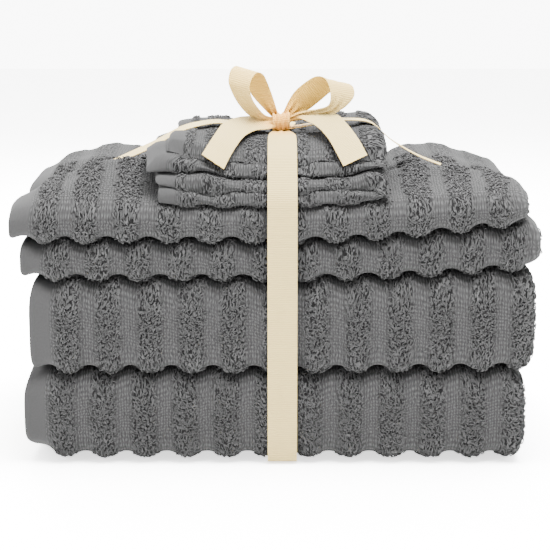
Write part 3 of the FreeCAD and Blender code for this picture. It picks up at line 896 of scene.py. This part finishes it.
TAIL_LEFT = [
    [4, -33, 229, 4, -36, 225], [-6, -32, 230.6, -1, -42, 224.6], [-14.6, -31.6, 231.6, -6, -47, 223.6],
    [-24, -34, 231.4, -12, -50, 223.4], [-34, -45, 229, -19.4, -58, 221], [-42, -65, 221, -27, -77, 213.6],
    [-46.4, -78, 214.6, -31.4, -87.6, 206.6], [-49.5, -88, 210, -34.4, -95.6, 201]]
TAIL_RIGHT = [
    [6, -33, 229.6, 6, -36, 225], [12, -31.4, 232.4, 10.6, -38.4, 228.6], [20, -31, 235.4, 16, -43, 230.6],
    [31, -33.6, 236.4, 22.6, -50, 229.4], [43, -40, 233.6, 29, -59, 226.6],
    [50.4, -55, 227.6, 36, -71.6, 220],
    [57.6, -72, 218.4, 41.4, -84.6, 211.4], [62.5, -86, 209.5, 46, -96, 203]]
KNOT = []
KNOT_POINTS = 14
for k in range(KNOT_POINTS):
    angle = 2 * math.pi * k / KNOT_POINTS
    y = KNOT_AT[1] + 6.6 * math.cos(angle)
    z = 227.6 + 6.0 * math.sin(angle)
    KNOT.append([-1.6, y, z - 0.5, 10.6, y, z + 0.8])

ribbons = {
    "ribbon_front_to_back": strip("ribbon_front_to_back_strip", front_pairs, True, 1.6, 8, 0.6),
    "ribbon_side_to_side": strip("ribbon_side_to_side_strip", side_pairs, True, 1.6, 8, 0.6,
                                 outside=1),
    "bow_loop_left": strip("bow_loop_left_strip", LOOP_LEFT, outside=1, glow=0.4),
    "bow_loop_right": strip("bow_loop_right_strip", LOOP_RIGHT, glow=0.25),
    "bow_tail_left": strip("bow_tail_left_strip", TAIL_LEFT),
    "bow_tail_right": strip("bow_tail_right_strip", TAIL_RIGHT, outside=1),
    "bow_knot": strip("bow_knot_strip", KNOT, True, 0.8, 16, 0.9, 3.5),
}
print("ribbon in all (mm):", round(sum(length for piece, length in ribbons.values())))

# %% [markdown]
# The ribbon and the floor press the pile flat, so no loops stand there. On the other ribs
# that face the front or lie open on top, they are modelled one by one, because loops give
# terry its grain and its soft edge.

# %% Terry loops
FLOOR_GAP = 1.3
STRIP_GAP = 3.0
lying_strips = [(front_pairs, True), (side_pairs, True), (TAIL_LEFT, False), (TAIL_RIGHT, False)]
edges = np.concatenate([smooth_points(pairs, closed, 4) for pairs, closed in lying_strips])
ribbon_places = (edges[:, :3] + edges[:, 3:]) / 2


def pressed_flat(points):
    """True by the floor, and where a strip lies within half its width and a little more."""
    pressed = points[:, 2] < FLOOR_GAP
    for place in ribbon_places:
        pressed |= np.linalg.norm(points - place, axis=1) < RIBBON / 2 + STRIP_GAP
    return pressed


piles = {}
for node, (cloth, areas) in cloths.items():
    piles[node] = cloth.loops(node + "_pile", areas, len(piles), pressed_flat)

BODY_OF = {"bow_loop_left": "loop_left", "bow_loop_right": "loop_right",
           "bow_tail_left": "tail_left", "bow_tail_right": "tail_right"}

# %% [markdown]
# Both fabrics are matt. Their colour patterns are laid out in millimetres of flat cloth,
# from the UV map. They share a start: a rough shader with little shine and a trace of
# sheen.

# %% Start of a fabric material
def new_fabric(name, roughness, sheen):
    fabric = bpy.data.materials.new(name)
    fabric.use_nodes = True
    shader = fabric.node_tree.nodes["Principled BSDF"]
    shader.inputs["Roughness"].default_value = roughness
    shader.inputs["Specular IOR Level"].default_value = 0.04
    shader.inputs["Sheen Weight"].default_value = sheen
    shader.inputs["Sheen Roughness"].default_value = 0.5
    return fabric, fabric.node_tree, shader


def cloth_millimetres(tree):
    """The place on the flat cloth in mm: as a vector, and its two parts."""
    metres = add_node(tree, "ShaderNodeUVMap", {}, uv_map="cloth")["UV"]
    place = add_node(tree, "ShaderNodeVectorMath", {0: metres, "Scale": 1000}, operation="SCALE")[0]
    parts = add_node(tree, "ShaderNodeSeparateXYZ", {0: place})
    return place, parts["X"], parts["Y"]


NOISE, RANGE, MATH = "ShaderNodeTexNoise", "ShaderNodeMapRange", "ShaderNodeMath"
print("materials so far:", len(bpy.data.materials))

# %% [markdown]
# Zero-twist cotton terry scatters light from thousands of tiny loops, so it is matt and
# velvety: very rough, with a trace of sheen. Between the loops it lies in shade, and that
# shade is painted into the colour as the dark part of the grain. The tall ribs are curly,
# with a grain of about 1.4 mm. The low stripes show short loops in straight cords, drawn
# about 2 mm apart: a finer cord would not show. The woven hem has no loops and no relief.

# %% Terry grain
CURL = 1.35
CLUMP = 7.0
CORD = 1.9
ROW = 2.1
SPECK = 1.2
terry, tree, terry_shader = new_fabric("zero-twist cotton terry", 1.0, 0.015)
place, across_cords, along_cords = cloth_millimetres(tree)
grain = {}
for what, size, distortion in (("curl", CURL, 0.5), ("clump", CLUMP, 0.0), ("wander", 2.6, 0.0),
                               ("speck", SPECK, 0.0)):
    grain[what] = add_node(
        tree, NOISE, {"Vector": place, "Scale": 1 / size, "Detail": 1.0, "Distortion": distortion},
        noise_dimensions="2D")[0]
curls = add_node(tree, RANGE, {"Value": grain["curl"], "From Min": 0.38, "From Max": 0.6},
                 interpolation_type="SMOOTHSTEP")["Result"]
clumps = add_node(
    tree, RANGE,
    {"Value": grain["clump"], "From Min": 0.3, "From Max": 0.7, "To Min": 0.72, "To Max": 1.0},
    interpolation_type="SMOOTHSTEP")["Result"]
specks = add_node(tree, RANGE, {"Value": grain["speck"], "From Min": 0.3, "From Max": 0.7},
                  interpolation_type="SMOOTHSTEP")["Result"]
tall_pile = add_node(tree, MATH, {0: curls, 1: clumps}, operation="MULTIPLY")[0]
cord_place = add_node(tree, MATH, {0: grain["wander"], 1: 2.2, 2: across_cords},
                      operation="MULTIPLY_ADD")[0]
waves = []
for at, pitch, height, middle in ((cord_place, CORD, 0.5, 0.5), (along_cords, ROW, 0.4, 0.65)):
    angle = add_node(tree, MATH, {0: at, 1: 2 * math.pi / pitch}, operation="MULTIPLY")[0]
    wave = add_node(tree, MATH, {0: angle}, operation="SINE")[0]
    waves.append(add_node(tree, MATH, {0: wave, 1: height, 2: middle}, operation="MULTIPLY_ADD")[0])
knit = add_node(tree, MATH, {0: waves[0], 1: waves[1]}, operation="MULTIPLY")[0]
speck_share = add_node(tree, MATH, {0: specks, 1: 0.25}, operation="MULTIPLY")[0]
low_pile = add_node(tree, MATH, {0: knit, 1: 0.75, 2: speck_share}, operation="MULTIPLY_ADD")[0]
print("terry grain (mm):", CURL, "on ribs,", CORD, "by", ROW, "between them")

# %% [markdown]
# The grain becomes painted shade and relief: its low places are painted darker, more deeply
# on the tall ribs. Three numbers on the mesh steer it: how far a point is on a tall rib, how
# far it is on terry and not on a hem, and how high it is on a loop. A loop is painted darkest
# at its foot, as shade, because little light gets down there.

# %% Terry colour and relief
TERRY_LIGHT = linear("#303030")
RELIEF = 0.0011
rib, on_terry, up_loop = [add_node(tree, "ShaderNodeAttribute", {}, attribute_name=name)["Fac"]
                          for name in ("rib", "terry", "loop")]
pile = add_node(tree, "ShaderNodeMix", {"Factor": rib, "A": low_pile, "B": tall_pile})["Result"]
below_tips = add_node(tree, MATH, {0: pile, 1: 0.85}, operation="SUBTRACT")[0]
# Painted shade: the low places of the pile are darkened, more deeply on the tall ribs.
depth = add_node(tree, MATH, {0: rib, 1: 0.35, 2: 0.78}, operation="MULTIPLY_ADD")[0]
pile_shade = add_node(tree, MATH, {0: below_tips, 1: depth, 2: 1.0}, operation="MULTIPLY_ADD")[0]
hem_shade = add_node(tree, MATH, {0: specks, 1: 0.06, 2: 0.62}, operation="MULTIPLY_ADD")[0]
cloth_shade = add_node(tree, "ShaderNodeMix",
                       {"Factor": on_terry, "A": hem_shade, "B": pile_shade})["Result"]
is_loop = add_node(tree, MATH, {0: up_loop, 1: 0.01}, operation="GREATER_THAN")[0]
# Painted shade: a loop's colour darkens towards its foot.
loop_shade = add_node(tree, MATH, {0: up_loop, 1: 1.12}, operation="MULTIPLY")[0]
shade = add_node(tree, "ShaderNodeMix",
                 {"Factor": is_loop, "A": cloth_shade, "B": loop_shade})["Result"]
lit_shade = add_node(tree, MATH, {0: shade, 1: 0.12}, operation="MAXIMUM")[0]
colour = add_node(tree, "ShaderNodeVectorMath", {0: TERRY_LIGHT[:3], "Scale": lit_shade},
                  operation="SCALE")[0]
rib_height = add_node(tree, MATH, {0: rib, 1: 0.65, 2: 0.35}, operation="MULTIPLY_ADD")[0]
pile_height = add_node(tree, MATH, {0: pile, 1: rib_height}, operation="MULTIPLY")[0]
height = add_node(tree, MATH, {0: pile_height, 1: on_terry}, operation="MULTIPLY")[0]
relief = add_node(tree, "ShaderNodeBump", {"Strength": 1.0, "Distance": RELIEF, "Height": height})
tree.links.new(colour, terry_shader.inputs["Base Color"])
tree.links.new(relief["Normal"], terry_shader.inputs["Normal"])
print("terry nodes:", len(tree.nodes))

# %% [markdown]
# The ribbon is a cream woven tape, grosgrain, with a fine rib across it. Light that comes
# through the thin cloth is warmer, so the insides of the loops look golden, and the tight
# gathers round the knot look peach.

# %% Ribbon material
CREAM = linear("#8c7c51")
GOLD = linear("#a5853c")
PEACH = linear("#ad7a32")
WEFT = 1.5
tape, tree, tape_shader = new_fabric("grosgrain ribbon", 0.7, 0.02)
along_tape = cloth_millimetres(tree)[2]
inner, by_knot = [add_node(tree, "ShaderNodeAttribute", {}, attribute_name=name)["Fac"]
                  for name in ("inner", "by_knot")]
golden = add_node(tree, "ShaderNodeMix", {"Factor": inner, "A": CREAM, "B": GOLD},
                  data_type="RGBA")["Result"]
warm = add_node(tree, "ShaderNodeMix", {"Factor": by_knot, "A": golden, "B": PEACH},
                data_type="RGBA")["Result"]
weft_angle = add_node(tree, MATH, {0: along_tape, 1: 2 * math.pi / WEFT}, operation="MULTIPLY")[0]
weft = add_node(tree, MATH, {0: weft_angle}, operation="SINE")[0]
weft_shade = add_node(tree, MATH, {0: weft, 1: 0.07, 2: 0.93}, operation="MULTIPLY_ADD")[0]
woven = add_node(tree, "ShaderNodeVectorMath", {0: warm, "Scale": weft_shade}, operation="SCALE")[0]
ridges = add_node(tree, "ShaderNodeBump", {"Strength": 0.6, "Distance": 0.0002, "Height": weft})
tree.links.new(woven, tape_shader.inputs["Base Color"])
tree.links.new(ridges["Normal"], tape_shader.inputs["Normal"])
print("ribbon nodes:", len(tree.nodes))

# %% [markdown]
# Each cloth piece rides on its CAD body and replaces the CAD node of the same name. The
# six towels, both bands and the knot move together. The loops and tails turn at the knot.

# %% Join the pieces to the frame
for node, towel in towels.items():
    towel.data.materials.append(terry)
    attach(towel, "stack")
    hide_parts(node)
    pile = piles[node]
    pile.data.materials.append(terry)
    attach(pile, "stack")
for node, (piece, length) in ribbons.items():
    piece.data.materials.append(tape)
    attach(piece, BODY_OF.get(node, "stack"))
    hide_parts(node)
